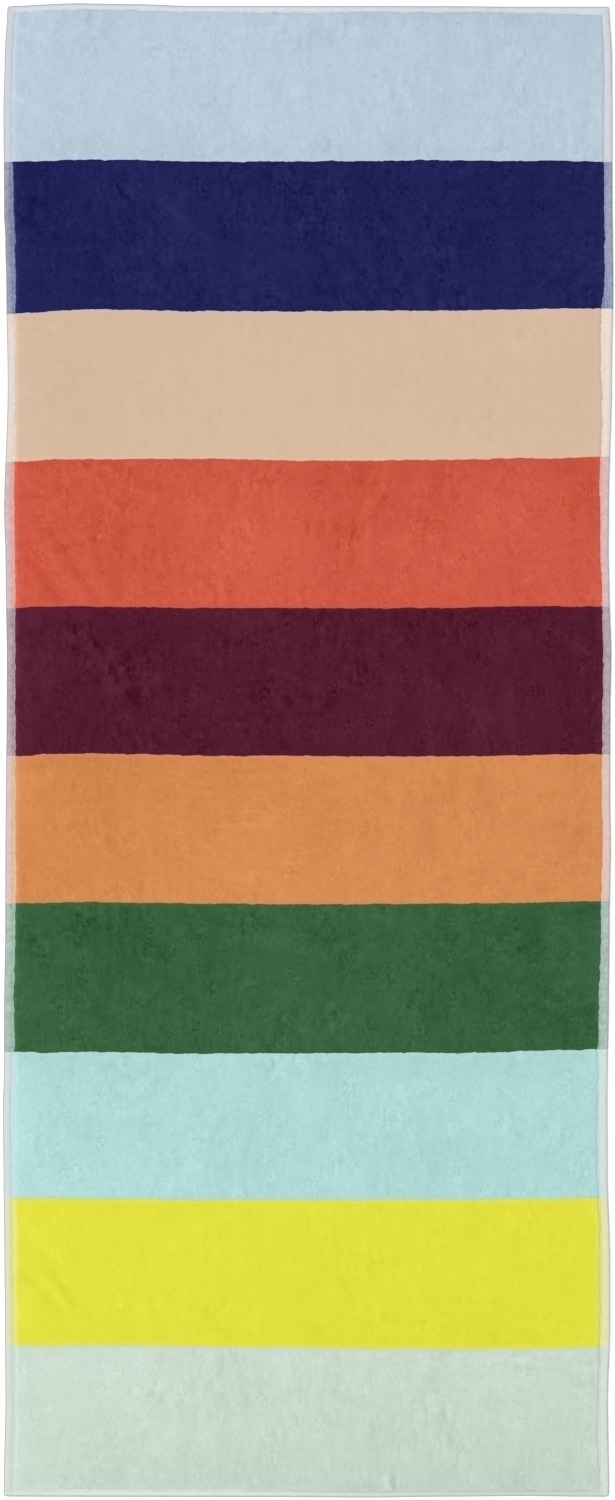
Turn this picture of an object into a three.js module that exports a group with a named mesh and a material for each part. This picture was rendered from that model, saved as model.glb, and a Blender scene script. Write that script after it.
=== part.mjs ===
// A striped bath towel of cotton velour, spread out flat and face up. It is one piece of cloth with ten
// bands of colour across it, a raised pile, and a narrow hem turned in on all four sides. Millimetres,
// +Z up, +X to the right, +Y towards the light blue end. The origin is under the middle of the cloth.
import * as THREE from "three";

// The cloth as it was cut and hemmed
const CLOTH_WIDTH = 710;
const CLOTH_LENGTH = 1750;
const PILE_THICKNESS = 3;

// The hems: flat-woven cloth folded on itself, lower than the pile that starts beside it
const HEM_THICKNESS = 2;
const SIDE_HEM_WIDTH = 11;
const END_HEM_WIDTH = 8;
const PILE_SHOULDER = 2.5;
const FOLD_ROUND = 1;
const FOLD_INSET = 0.6;
const CORNER_REACH = 5;
const CORNER_EASE = 0.7;

// The bands, from the light blue end down: how deep each is along the cloth, and into how many rows of
// faces it is cut, more where the cloth is creased. The first and the last include an end hem.
const BANDS = [
  { name: "light blue", colour: 0xb9cbd9, depth: 182, rows: 6 },
  { name: "navy", colour: 0x202358, depth: 174, rows: 4 },
  { name: "sand", colour: 0xd7b9a0, depth: 174, rows: 4 },
  { name: "coral red", colour: 0xd05944, depth: 174, rows: 9 },
  { name: "plum", colour: 0x551c30, depth: 174, rows: 9 },
  { name: "orange", colour: 0xd78a52, depth: 174, rows: 4 },
  { name: "green", colour: 0x36623d, depth: 174, rows: 4 },
  { name: "aqua", colour: 0xb0d9d6, depth: 174, rows: 5 },
  { name: "yellow", colour: 0xe2e03f, depth: 174, rows: 7 },
  { name: "mint", colour: 0xc8d8cb, depth: 176, rows: 5 },
];

// Two bands change over within one row of loops
const CHANGE_OVER = 1;

// The hems are a pale tint of each band: undyed threads run along them over the coloured ones
const UNDYED = 0xe8e8ec;
const HEM_TINT = 0.65;

// The columns of faces across the pile, closer together where most of the creases lie
const PILE_COLUMNS = [
  { share: 0.28, steps: 11 },
  { share: 0.42, steps: 6 },
  { share: 0.3, steps: 6 },
];

// How far the two long edges lie outside the straight cut, by the distance down from the light blue end
const LONG_EDGES = [
  { down: 0, left: -1.6, right: -1.8 },
  { down: 60, left: 1.4, right: 1.3 },
  { down: 120, left: 2.9, right: 1.8 },
  { down: 240, left: 2.2, right: 1.8 },
  { down: 270, left: 0.8, right: 2.3 },
  { down: 330, left: -0.5, right: 2.8 },
  { down: 440, left: -2.1, right: 1.1 },
  { down: 590, left: 2.1, right: -2.4 },
  { down: 640, left: 0.6, right: -2.7 },
  { down: 690, left: 0, right: -1.6 },
  { down: 760, left: -1.1, right: 0.4 },
  { down: 830, left: -0.9, right: -0.7 },
  { down: 920, left: 0.1, right: -0.9 },
  { down: 990, left: 0.7, right: -0.2 },
  { down: 1080, left: 0.9, right: -1.7 },
  { down: 1180, left: 2.2, right: -2.6 },
  { down: 1250, left: 2.2, right: -3.9 },
  { down: 1285, left: 3.6, right: -4.2 },
  { down: 1370, left: 2.9, right: -4.0 },
  { down: 1470, left: 1.8, right: -1.2 },
  { down: 1550, left: 1.1, right: -1.1 },
  { down: 1640, left: 0.6, right: -3.7 },
  { down: 1740, left: 2.5, right: -2.3 },
];

// How far the two short edges lie outside the straight cut, by the distance across from the left edge
const SHORT_EDGES = [
  { across: 0, far: -1.1, near: 0.6 },
  { across: 80, far: 2.1, near: 0.9 },
  { across: 150, far: 1.1, near: 1.0 },
  { across: 220, far: -1.0, near: 1.1 },
  { across: 330, far: -1.1, near: 1.3 },
  { across: 430, far: -1.1, near: 1.8 },
  { across: 510, far: -1.2, near: 0.8 },
  { across: 610, far: -1.9, near: 0.1 },
  { across: 690, far: -1.9, near: 0.8 },
];

// The main creases that the cloth has kept, as soft ridges where it doesn't quite lie down: the two ends
// of each one's crest, how far it spreads to either side, and how high the cloth stands off there
const CREASES = [
  { fromX: -335, fromY: 270, toX: -258, toY: 166, spread: 20, height: 1.1 },
  { fromX: -262, fromY: 172, toX: -185, toY: 5, spread: 22, height: 1.2 },
  { fromX: 280, fromY: 145, toX: 341, toY: 112, spread: 20, height: 0.8 },
  { fromX: 100, fromY: 336, toX: 71, toY: 224, spread: 22, height: 0.8 },
  { fromX: -338, fromY: -588, toX: -262, toY: -670, spread: 20, height: 1.0 },
  { fromX: -340, fromY: 776, toX: -300, toY: 740, spread: 20, height: 0.7 },
  { fromX: -58, fromY: -420, toX: -114, toY: -492, spread: 22, height: 0.7 },
];

// The distances from the first edge at which faces meet, for spans that follow each other
function stations(spans) {
  const places = [0];
  for (const { length, steps } of spans) {
    const start = places.at(-1);
    for (let step = 1; step <= steps; step += 1) {
      places.push(start + (length * step) / steps);
    }
  }
  return places;
}

function hemSpans(hemWidth) {
  return [
    { length: FOLD_ROUND, steps: 1 },
    { length: hemWidth - FOLD_ROUND, steps: 1 },
    { length: PILE_SHOULDER, steps: 1 },
  ];
}

function acrossStations() {
  const pileWidth = CLOTH_WIDTH - 2 * (SIDE_HEM_WIDTH + PILE_SHOULDER);
  return stations([
    ...hemSpans(SIDE_HEM_WIDTH),
    ...PILE_COLUMNS.map(({ share, steps }) => ({ length: share * pileWidth, steps })),
    ...hemSpans(SIDE_HEM_WIDTH).reverse(),
  ]);
}

function downStations() {
  const hemAndShoulder = END_HEM_WIDTH + PILE_SHOULDER;
  const spans = BANDS.flatMap(({ depth, rows }, index) => {
    const isEnd = index === 0 || index === BANDS.length - 1;
    const taken = isEnd ? hemAndShoulder + CHANGE_OVER / 2 : CHANGE_OVER;
    return [
      { length: depth - taken, steps: rows },
      { length: CHANGE_OVER, steps: 1 },
    ];
  });
  return stations([
    ...hemSpans(END_HEM_WIDTH),
    ...spans.slice(0, -1),
    ...hemSpans(END_HEM_WIDTH).reverse(),
  ]);
}

// A column of a table at a place between two of its rows, with a smooth run from each row to the next
function readTable(table, key, place, column) {
  const next = table.findIndex((row) => row[key] > place);
  if (next === -1) return table.at(-1)[column];
  if (next === 0) return table[0][column];
  const before = table[next - 1];
  const after = table[next];
  const share = THREE.MathUtils.smoothstep(place, before[key], after[key]);
  return THREE.MathUtils.lerp(before[column], after[column], share);
}

// How far an edge is drawn in near the end of it, so that the corner is slightly rounded
function cornerInset(fromOneEnd, length) {
  const distance = Math.min(fromOneEnd, length - fromOneEnd);
  return CORNER_EASE * Math.max(0, 1 - distance / CORNER_REACH) ** 2;
}

// The place in plan of a point of the cut cloth, across from its left edge and down from its far end
function inPlan(across, down) {
  const sideInset = cornerInset(down, CLOTH_LENGTH);
  const endInset = cornerInset(across, CLOTH_WIDTH);
  const left = -CLOTH_WIDTH / 2 - readTable(LONG_EDGES, "down", down, "left") + sideInset;
  const right = CLOTH_WIDTH / 2 + readTable(LONG_EDGES, "down", down, "right") - sideInset;
  const far = CLOTH_LENGTH / 2 + readTable(SHORT_EDGES, "across", across, "far") - endInset;
  const near = -CLOTH_LENGTH / 2 - readTable(SHORT_EDGES, "across", across, "near") + endInset;
  return new THREE.Vector2(
    THREE.MathUtils.lerp(left, right, across / CLOTH_WIDTH),
    THREE.MathUtils.lerp(far, near, down / CLOTH_LENGTH),
  );
}

// How far a point lies past the hem, into the pile; negative on the hem itself
function pastHem(across, down) {
  const fromSide = Math.min(across, CLOTH_WIDTH - across) - SIDE_HEM_WIDTH;
  const fromEnd = Math.min(down, CLOTH_LENGTH - down) - END_HEM_WIDTH;
  return Math.min(fromSide, fromEnd);
}

function thicknessAt(across, down) {
  const share = THREE.MathUtils.smoothstep(pastHem(across, down), 0, PILE_SHOULDER);
  return THREE.MathUtils.lerp(HEM_THICKNESS, PILE_THICKNESS, share);
}

// How far the cloth stands off what it lies on: the highest of the creases that pass a place
function standOff(place) {
  const nearest = new THREE.Vector3();
  const point = new THREE.Vector3(place.x, place.y, 0);
  const lifts = CREASES.map((crease) => {
    const crest = new THREE.Line3(
      new THREE.Vector3(crease.fromX, crease.fromY, 0),
      new THREE.Vector3(crease.toX, crease.toY, 0),
    );
    crest.closestPointToPoint(point, true, nearest);
    const share = Math.min(1, nearest.distanceTo(point) / crease.spread);
    return crease.height * Math.cos((share * Math.PI) / 2) ** 2;
  });
  return Math.max(...lifts);
}

function bandAt(down) {
  let end = 0;
  for (const band of BANDS) {
    end += band.depth;
    if (down < end) return band;
  }
  return BANDS.at(-1);
}

function colourAt(across, down) {
  const colour = new THREE.Color(bandAt(down).colour);
  const onHem = pastHem(across, down) < PILE_SHOULDER / 2;
  return onHem ? colour.lerp(new THREE.Color(UNDYED), HEM_TINT) : colour;
}

// The whole cloth, from a box cut into rows and columns: each of its points goes to its place in plan
// and to the underside, the middle or the top of the cloth. The box's rim has a point half way up,
// which stays out while those above and below it are drawn in, as the folded edge of a hem is round.
function towelGeometry() {
  const columns = acrossStations();
  const rows = downStations();
  const layers = 2;
  const geometry = new THREE.BoxGeometry(1, 1, 1, columns.length - 1, rows.length - 1, layers);
  const position = geometry.attributes.position;
  const colours = [];
  for (let index = 0; index < position.count; index += 1) {
    const column = Math.round((position.getX(index) + 0.5) * (columns.length - 1));
    const row = Math.round((0.5 - position.getY(index)) * (rows.length - 1));
    const layer = Math.round((position.getZ(index) + 0.5) * layers);
    const across = columns[column];
    const down = rows[row];
    const place = inPlan(across, down);
    const foldInset = layer === layers / 2 ? 0 : FOLD_INSET;
    if (column === 0 || column === columns.length - 1) place.x -= Math.sign(place.x) * foldInset;
    if (row === 0 || row === rows.length - 1) place.y -= Math.sign(place.y) * foldInset;
    const height = standOff(place) + (layer / layers) * thicknessAt(across, down);
    position.setXYZ(index, place.x, place.y, height);
    colours.push(...colourAt(across, down));
  }
  geometry.setAttribute("color", new THREE.Float32BufferAttribute(colours, 3));
  geometry.computeVertexNormals();
  return geometry;
}

// Cut and washed cotton velour: dull all over, in the colour of each band
const velour = new THREE.MeshStandardMaterial({ vertexColors: true, roughness: 0.95, metalness: 0 });

const towel = new THREE.Mesh(towelGeometry(), velour);
towel.name = "towel";

const group = new THREE.Group();
group.add(towel);

export default group;
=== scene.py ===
# %% [markdown]
# # A striped bath towel of cotton velour, spread out flat
#
# The real towel is one length of cloth. A flat ground weave carries a pile of cotton loops, and on the
# face the tips of the loops are sheared off, which leaves a dull, even, short fur called velour. The
# weaver changes the colour of the yarn every 17 or 18 cm, so ten bands of colour run straight across.
# The pile stops short of the edges, where the bare ground is folded under and sewn down as a hem.
#
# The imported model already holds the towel's true outline, its thickness and its main creases as one
# plain solid. This scene builds the looks over it in the same frame, in metres, with +Z up, +X to the
# right and +Y towards the light blue end.

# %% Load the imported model
import math

import bpy
import numpy as np
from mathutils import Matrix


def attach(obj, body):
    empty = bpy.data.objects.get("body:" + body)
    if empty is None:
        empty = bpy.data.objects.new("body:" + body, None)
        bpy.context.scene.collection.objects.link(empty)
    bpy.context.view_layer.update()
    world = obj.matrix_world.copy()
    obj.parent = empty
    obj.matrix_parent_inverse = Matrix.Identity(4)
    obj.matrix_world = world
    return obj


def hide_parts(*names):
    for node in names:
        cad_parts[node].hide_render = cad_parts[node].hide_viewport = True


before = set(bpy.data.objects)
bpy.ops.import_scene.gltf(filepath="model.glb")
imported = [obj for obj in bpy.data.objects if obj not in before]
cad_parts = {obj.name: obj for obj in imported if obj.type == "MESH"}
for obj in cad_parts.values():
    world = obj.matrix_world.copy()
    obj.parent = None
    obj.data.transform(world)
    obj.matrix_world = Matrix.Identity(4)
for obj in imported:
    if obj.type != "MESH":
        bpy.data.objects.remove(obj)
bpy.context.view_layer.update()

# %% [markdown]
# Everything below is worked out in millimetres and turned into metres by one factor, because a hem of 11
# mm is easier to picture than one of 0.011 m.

MM = 0.001

# %% [markdown]
# Colours are written as sRGB hex codes, as a dyer's chart gives them, and shaders want linear light. One
# function turns the first into the second; its steps argument makes the colour lighter or darker first,
# by the same amount on all three channels. The other helpers hold and read the small tables of measures
# that describe the cloth: the names of the columns, then one row for each place. Lengths are in
# millimetres there, and columns that hold anything else are named again as plain.

# %% Read colours and tables
CHANNEL_MAX = 255
CURVE_TOE = 0.04045
TOE_SLOPE = 12.92
CURVE_OFFSET = 0.055
CURVE_POWER = 2.4
BRIGHTNESS_SHARES = (0.2126, 0.7152, 0.0722)


def channels(code):
    """The red, green and blue of an sRGB hex code, each from 0 to 255."""
    return [int(code[place : place + 2], 16) for place in (1, 3, 5)]


def to_linear(part):
    """A channel of an sRGB colour as linear light, both from 0 to 1."""
    if part <= CURVE_TOE:
        return part / TOE_SLOPE
    return ((part + CURVE_OFFSET) / (1 + CURVE_OFFSET)) ** CURVE_POWER


def from_hex(code, steps=0):
    """A colour from its sRGB hex code, some steps lighter, as linear red, green, blue and full alpha."""
    return (*(to_linear((channel + steps) / CHANNEL_MAX) for channel in channels(code)), 1.0)


def brightness(colour):
    """How bright a colour looks, from its red, green and blue."""
    return sum(share * part for share, part in zip(BRIGHTNESS_SHARES, colour))


def table(names, rows, plain=""):
    """A table as one array for each named column, from millimetres to metres but for the plain ones."""
    units = [[1 if name in plain.split() else MM] for name in names.split()]
    return dict(zip(names.split(), np.array(rows, dtype=float).T * units))


def each(columns):
    """The rows of a table, one after another."""
    return zip(*columns.values())


def eased(share):
    """A share from 0 to 1 that sets out and arrives gently."""
    return share * share * (3 - 2 * share)


def soft_step(values, start, end):
    """A smooth rise from 0 to 1 while a value goes from a start to an end."""
    return eased(np.clip((values - start) / (end - start), 0, 1))


def read_table(columns, key, wanted):
    """A column of a table at any place along its first column, with a smooth run from row to row."""
    places, values = next(iter(columns.values())), columns[key]
    after = np.clip(np.searchsorted(places, wanted, side="right"), 1, len(places) - 1)
    share = soft_step(wanted, places[after - 1], places[after])
    return values[after - 1] + share * (values[after] - values[after - 1])


# %% [markdown]
# ## The bands
#
# Each band has the colour of its pile, the two colours that its flat weave has in the hem, beside the
# pile and out at the fold, how deep it runs down the cloth, and how lively its pile looks: dark and
# strong dyes show every leaning tuft, while sand and yellow hardly do. A place on the cloth is always
# given as the distance across from the left edge and the distance down from the light blue end, as it
# was cut and hemmed.

# %% Describe the cloth and its bands
CLOTH_WIDTH = 710 * MM
CLOTH_LENGTH = 1750 * MM
PILE_THICKNESS = 3 * MM
SIDE_HEM = 11 * MM
END_HEM = 8 * MM

BAND_COLUMNS = ("name", "pile", "weft", "fold", "depth", "lively")
BAND_ROWS = [
    ("light_blue", "#9DACB8", "#AEB7C2", "#AFB4B9", 182, 0.86),
    ("navy", "#131748", "#687097", "#818796", 174, 1.3),
    ("sand", "#B79D87", "#D1BDAD", "#C1B8B2", 174, 0.2),
    ("coral_red", "#B04936", "#CB8F84", "#B5A0A1", 174, 1.14),
    ("plum", "#450F23", "#9A7683", "#988D93", 174, 1.38),
    ("orange", "#B67443", "#CAA080", "#BAA8A3", 174, 0.86),
    ("green", "#295130", "#81A38E", "#96A19E", 174, 1.38),
    ("aqua", "#94B8B6", "#ABC0BF", "#B3BDBB", 174, 1.02),
    ("yellow", "#C0BE31", "#C4C477", "#BEBFA3", 174, 0.4),
    ("mint", "#AAB8AD", "#B2BEB4", "#B4BDB6", 176, 0.88),
]
BANDS = [dict(zip(BAND_COLUMNS, row)) for row in BAND_ROWS]
band_ends = np.cumsum([0] + [band["depth"] for band in BANDS]) * MM
print(len(BANDS), "bands over", round(band_ends[-1] / MM), "mm")

# %% [markdown]
# ## The outline in plan
#
# A washed towel never keeps straight edges. The two long edges wander by a few millimetres as they go
# down, and the two short ones as they go across. These rows are the same ones that shape the packed
# solid. The lines where the colours change wander too, because the weave has been pulled about: each
# row below gives how far up such a line lies, at ten places across. A drawn picture could show this,
# but moving the points of the mesh carries the pile, the hem and the sewing along with it.

# %% Place the cloth in plan
LONG_EDGES = table("down left right", [
    (0, -1.6, -1.8),
    (60, 1.4, 1.3),
    (120, 2.9, 1.8),
    (240, 2.2, 1.8),
    (270, 0.8, 2.3),
    (330, -0.5, 2.8),
    (440, -2.1, 1.1),
    (590, 2.1, -2.4),
    (640, 0.6, -2.7),
    (690, 0, -1.6),
    (760, -1.1, 0.4),
    (830, -0.9, -0.7),
    (920, 0.1, -0.9),
    (990, 0.7, -0.2),
    (1080, 0.9, -1.7),
    (1180, 2.2, -2.6),
    (1250, 2.2, -3.9),
    (1285, 3.6, -4.2),
    (1370, 2.9, -4.0),
    (1470, 1.8, -1.2),
    (1550, 1.1, -1.1),
    (1640, 0.6, -3.7),
    (1740, 2.5, -2.3),
])
SHORT_EDGES = table("across far near", [
    (0, -1.1, 0.6),
    (80, 2.1, 0.9),
    (150, 1.1, 1.0),
    (220, -1.0, 1.1),
    (330, -1.1, 1.3),
    (430, -1.1, 1.8),
    (510, -1.2, 0.8),
    (610, -1.9, 0.1),
    (690, -1.9, 0.8),
])
COLOUR_LINES = table("down at17 at52 at110 at240 at350 at463 at534 at592 at647 at692", [
    (0, 0, 0, 0, 0, 0, 0, 0, 0, 0, 0),
    (182, -1.0, -2.0, -1.0, -0.5, -0.5, 0.5, 0.5, 0.5, 1.0, 0),
    (356, -5.5, -4.5, -2.5, -2.5, -2.5, -1.5, -1.5, 0, 1.5, 1.5),
    (530, -5.0, -4.5, -4.0, -1.5, -4.0, -3.0, -2.5, -1.0, -0.5, 1.5),
    (704, -3.0, -2.5, -3.0, -2.5, -2.5, -2.5, -2.0, -0.5, -0.5, -0.5),
    (878, -2.5, -1.5, -1.0, -2.0, -2.0, -2.5, -2.5, -2.0, -0.5, 0),
    (1052, -1.5, -1.5, -1.0, -1.5, -2.0, -1.5, -1.5, -1.5, 0.5, 1.5),
    (1226, -2.0, -3.5, -2.5, -3.5, -3.0, -2.0, -3.0, -1.5, 0, 1.5),
    (1400, 0.5, 0, -0.5, -1.0, -1.0, -0.5, -1.5, -1.0, 0, 1.5),
    (1574, 2.5, 1.0, 2.0, 1.0, 0, -1.5, -2.5, -2.5, -2.0, 0.5),
    (1750, 0, 0, 0, 0, 0, 0, 0, 0, 0, 0),
])
LINE_PLACES = {key: int(key[2:]) * MM for key in COLOUR_LINES if key.startswith("at")}
CORNER_REACH = 5 * MM
CORNER_EASE = 0.7 * MM


def corner_inset(from_one_end, length):
    """How far an edge is drawn in near the end of it, which rounds the corner a little."""
    distance = np.minimum(from_one_end, length - from_one_end)
    return CORNER_EASE * np.maximum(0, 1 - distance / CORNER_REACH) ** 2


def weave_shift(across, down):
    """How far up the weave has been pulled at a place on the cloth."""
    shift = np.zeros(np.broadcast(across, down).shape)
    for key, only_this in zip(LINE_PLACES, np.eye(len(LINE_PLACES))):
        weight = np.interp(across, list(LINE_PLACES.values()), only_this)
        shift += weight * read_table(COLOUR_LINES, key, down)
    return shift


def in_plan(across, down):
    """Where a place on the cloth lies on the floor, as x and y."""
    side_inset = corner_inset(down, CLOTH_LENGTH)
    end_inset = corner_inset(across, CLOTH_WIDTH)
    left = -CLOTH_WIDTH / 2 - read_table(LONG_EDGES, "left", down) + side_inset
    right = CLOTH_WIDTH / 2 + read_table(LONG_EDGES, "right", down) - side_inset
    far = CLOTH_LENGTH / 2 + read_table(SHORT_EDGES, "far", across) - end_inset
    near = -CLOTH_LENGTH / 2 - read_table(SHORT_EDGES, "near", across) + end_inset
    x = left + (right - left) * across / CLOTH_WIDTH
    y = far + (near - far) * down / CLOTH_LENGTH + weave_shift(across, down)
    return x, y


# %% [markdown]
# ## The creases
#
# Cotton keeps the memory of how it was folded and carried. The first table holds the main creases, where
# the whole cloth stands off the floor by about a millimetre; they are the creases of the packed solid,
# so that this cloth lies in the solid's own folds. The second holds the finer crumples that only the
# pile shows, each a soft ridge or trough along a line, with how many steps lighter or darker it is
# painted: painted light and shade where the crumple catches or turns from the light, together with the
# lean of its tufts. A cloth simulation would settle such small folds flat, so they are listed one by
# one. All are given in the plan of the floor, from the middle of the towel.

# %% Lift the creases
CREASES = table("from_x from_y to_x to_y spread height", [
    (-335, 270, -258, 166, 20, 1.1),
    (-262, 172, -185, 5, 22, 1.2),
    (280, 145, 341, 112, 20, 0.8),
    (100, 336, 71, 224, 22, 0.8),
    (-338, -588, -262, -670, 20, 1.0),
    (-340, 776, -300, 740, 20, 0.7),
    (-58, -420, -114, -492, 22, 0.7),
])
# The lighter column gives each crumple's painted light and shade, in steps.
CRUMPLES = table("from_x from_y to_x to_y spread rise lighter", [
    (-346, 770, -316, 752, 4, 0.35, 4),
    (80, 732, 100, 702, 5, -0.2, -4.5),
    (-222, 662, -172, 645, 6, 0.2, 1.5),
    (-172, 645, -118, 600, 6, 0.3, 6),
    (-196, 640, -178, 613, 5, -0.2, -5.5),
    (-250, 605, -245, 565, 5, -0.2, -6),
    (-104, 622, -98, 602, 5, -0.2, -7.5),
    (12, 650, 18, 562, 6, -0.2, -4),
    (97, 605, 112, 562, 4, -0.2, -5.5),
    (-326, 222, -293, 175, 6, -0.52, -8),
    (-320, 250, -262, 178, 6, 0.59, 3),
    (-292, 243, -268, 205, 5, -0.52, -7),
    (-268, 205, -247, 178, 4, -0.26, -3.5),
    (-254, 252, -238, 206, 4, -0.33, -5),
    (-218, 282, -220, 180, 5, -0.26, -4),
    (65, 340, 57, 300, 5, -0.26, -6.5),
    (94, 338, 84, 302, 4, 0.26, 5.5),
    (89, 300, 81, 276, 4, -0.39, -6.5),
    (70, 290, 69, 215, 5, 0.35, 5),
    (54, 290, 51, 205, 4, -0.35, -3),
    (83, 268, 78, 230, 4, -0.2, -1.5),
    (32, 250, 30, 212, 4, -0.2, -2),
    (186, 263, 240, 290, 8, 0.13, 1),
    (-268, 155, -250, 112, 5, 0.52, 6),
    (-250, 112, -216, 40, 7, 0.59, 6),
    (-258, 154, -248, 120, 4, -0.39, -4.5),
    (-213, 112, -200, 55, 6, -0.52, -5),
    (-200, 52, -165, 12, 8, -0.26, -1.5),
    (-292, 128, -286, 115, 4, -0.2, -4),
    (71, 120, 71, 20, 5, -0.1, -0.5),
    (83, 145, 83, 40, 5, -0.15, -0.5),
    (98, 155, 98, 5, 5, 0.15, 1),
    (118, 130, 118, 20, 5, -0.15, -1.5),
    (137, 150, 137, 20, 5, 0.15, 3),
    (168, 120, 168, 30, 6, 0.1, 1),
    (288, 142, 325, 118, 5, 0.39, 4.5),
    (18, -25, 14, -100, 4, -0.1, -2.5),
    (90, -25, 92, -60, 5, -0.1, -3.5),
    (138, -60, 146, -125, 3, -0.1, -1.5),
    (-275, -246, -262, -232, 5, 0.2, 5),
    (-134, -285, -132, -335, 5, -0.15, -1.5),
    (19, -322, 80, -292, 6, -0.15, -1.5),
    (-257, -430, -257, -455, 4, -0.1, -5),
    (-195, -430, -195, -455, 4, -0.1, -5.5),
    (-105, -440, -120, -490, 5, -0.33, -5.5),
    (-62, -425, -76, -487, 5, -0.33, -4),
    (-320, -560, -290, -598, 5, 0.39, 3),
    (-335, -612, -288, -662, 6, -0.39, -4),
    (-310, -618, -280, -655, 4, 0.45, 3.5),
    (-298, -613, -274, -650, 4, -0.39, -3.5),
    (-113, -662, -88, -697, 5, -0.26, -3),
    (37, -575, 38, -620, 4, -0.13, -2),
    (38, -620, 56, -652, 4, -0.13, -3),
    (-104, -705, -100, -770, 5, -0.26, -6.5),
    (-85, -708, -70, -770, 4, -0.26, -5),
    (145, -728, 149, -755, 6, -0.2, -3.5),
    (15, -778, 32, -790, 5, -0.2, -5),
], plain="lighter")


def to_line(x, y, start, end):
    """The distance from each place to the nearest point of a straight line."""
    run_x, run_y = end[0] - start[0], end[1] - start[1]
    along = ((x - start[0]) * run_x + (y - start[1]) * run_y) / (run_x**2 + run_y**2)
    along = np.clip(along, 0, 1)
    return np.hypot(x - start[0] - along * run_x, y - start[1] - along * run_y)


def stand_off(x, y):
    """How far the whole cloth stands off the floor: the highest of the creases that pass a place."""
    lift = np.zeros(np.shape(x))
    for from_x, from_y, to_x, to_y, spread, height in each(CREASES):
        share = np.minimum(1, to_line(x, y, (from_x, from_y), (to_x, to_y)) / spread)
        lift = np.maximum(lift, height * np.cos(share * math.pi / 2) ** 2)
    return lift


def crumpled(x, y, what):
    """The crumples added up at each place: how far they rise, or how much lighter they are painted, as
    painted light and shade.
    """
    total = np.zeros(np.shape(x))
    for amount, (from_x, from_y, to_x, to_y, spread, *_) in zip(CRUMPLES[what], each(CRUMPLES)):
        distance = to_line(x, y, (from_x, from_y), (to_x, to_y)) / spread
        total += amount * np.exp(-(distance**2))
    return total


print(len(CREASES["height"]), "main creases and", len(CRUMPLES["rise"]), "crumples")

# %% [markdown]
# ## Unevenness without a pattern
#
# Sheared pile is uneven at every scale: single tufts, streaks a few millimetres long where a row was
# cut a little higher, and hand-sized clouds where it was stroked. Seeded random numbers, blurred to a
# chosen size, give all of these. The blur is done on the frequencies of the field, which is quick and
# wraps round without a seam. It may be longer one way than the other, and turned, to draw streaks.

# %% Make seeded unevenness
SEED = 17
random = np.random.default_rng(SEED)


def mottle(shape, step, size_down, size_across, turn=0):
    """Random numbers on a grid, blurred to a size in metres, with a mean of 0 and a spread of 1."""
    noise = np.fft.rfft2(random.standard_normal(shape))
    down = np.fft.fftfreq(shape[0], step)[:, None]
    across = np.fft.rfftfreq(shape[1], step)[None, :]
    along = size_down * (down * math.cos(turn) + across * math.sin(turn))
    beside = size_across * (across * math.cos(turn) - down * math.sin(turn))
    soft = np.fft.irfft2(noise * np.exp(-2 * math.pi**2 * (along**2 + beside**2)), s=shape)
    return (soft - soft.mean()) / soft.std()


# %% [markdown]
# ## Building a mesh from a grid
#
# Cloth is a grid of points bent into place, so every big piece here is one: rows of points down the
# cloth and columns across it, joined by four-sided faces. The grid's outer points, taken in order, let
# the rim be closed by bands of faces that go down to the next loop of points. All faces look outwards.
# Numbers that the materials need, such as the place on the cloth, are kept at the points of the mesh.

# %% Join points into meshes
def as_points(x, y, z):
    """Grids of coordinates as one list of points."""
    return np.stack(np.broadcast_arrays(x, y, z), axis=-1).reshape(-1, 3)


def grid_faces(rows, columns):
    """The faces of a grid of points whose rows follow each other down the cloth, seen from above."""
    number = np.arange(rows * columns).reshape(rows, columns)
    corners = [number[:-1, :-1], number[1:, :-1], number[1:, 1:], number[:-1, 1:]]
    return np.stack(corners, axis=-1).reshape(-1, 4)


def outer_loop(rows, columns):
    """The numbers of a grid's outer points in order, clockwise when seen from above."""
    number = np.arange(rows * columns).reshape(rows, columns)
    return np.concatenate([number[0, :-1], number[:-1, -1], number[-1, :0:-1], number[:0:-1, 0]])


def between_loops(upper, lower):
    """The faces that join a loop of points to the one below it."""
    return np.stack([upper, np.roll(upper, -1), np.roll(lower, -1), lower], axis=-1)


def make_piece(name, points, faces, fields=()):
    """A smooth mesh object with the values of each field kept at its points."""
    mesh = bpy.data.meshes.new(name)
    mesh.from_pydata(points.tolist(), [], faces)
    for field, values in dict(fields).items():
        is_place = values.ndim == 2
        kept = mesh.attributes.new(field, "FLOAT_VECTOR" if is_place else "FLOAT", "POINT")
        kept.data.foreach_set("vector" if is_place else "value", values.astype(np.float32).ravel())
    mesh.shade_smooth()
    piece = bpy.data.objects.new(name, mesh)
    bpy.context.scene.collection.objects.link(piece)
    return piece


def spaced(start, end, near_start, near_end, step):
    """Places from a start to an end: some close to each of them, and even steps in between."""
    inner_start, inner_end = start + near_start[-1], end - near_end[-1]
    steps = max(1, round((inner_end - inner_start) / step))
    even = np.linspace(inner_start, inner_end, steps + 1)[1:-1]
    return np.concatenate([start + near_start, even, end - near_end[::-1]])


# %% [markdown]
# ## The cloth and its hems
#
# The ground cloth is one closed sheet. Most of it hides under the pile, but along all four sides it
# comes out as the hem: two layers of flat weave folded over, about 2 mm thick, with a round outer fold
# and a groove beside the pile, where the sewing pulls it down. A profile across the hem says how high
# it stands at each share of its width. The hem also puckers a little between stitches and doubles up at
# the corners. The underside lies flat on the floor, apart from the creases, the turned fold and the
# groove of the seam.

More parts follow.
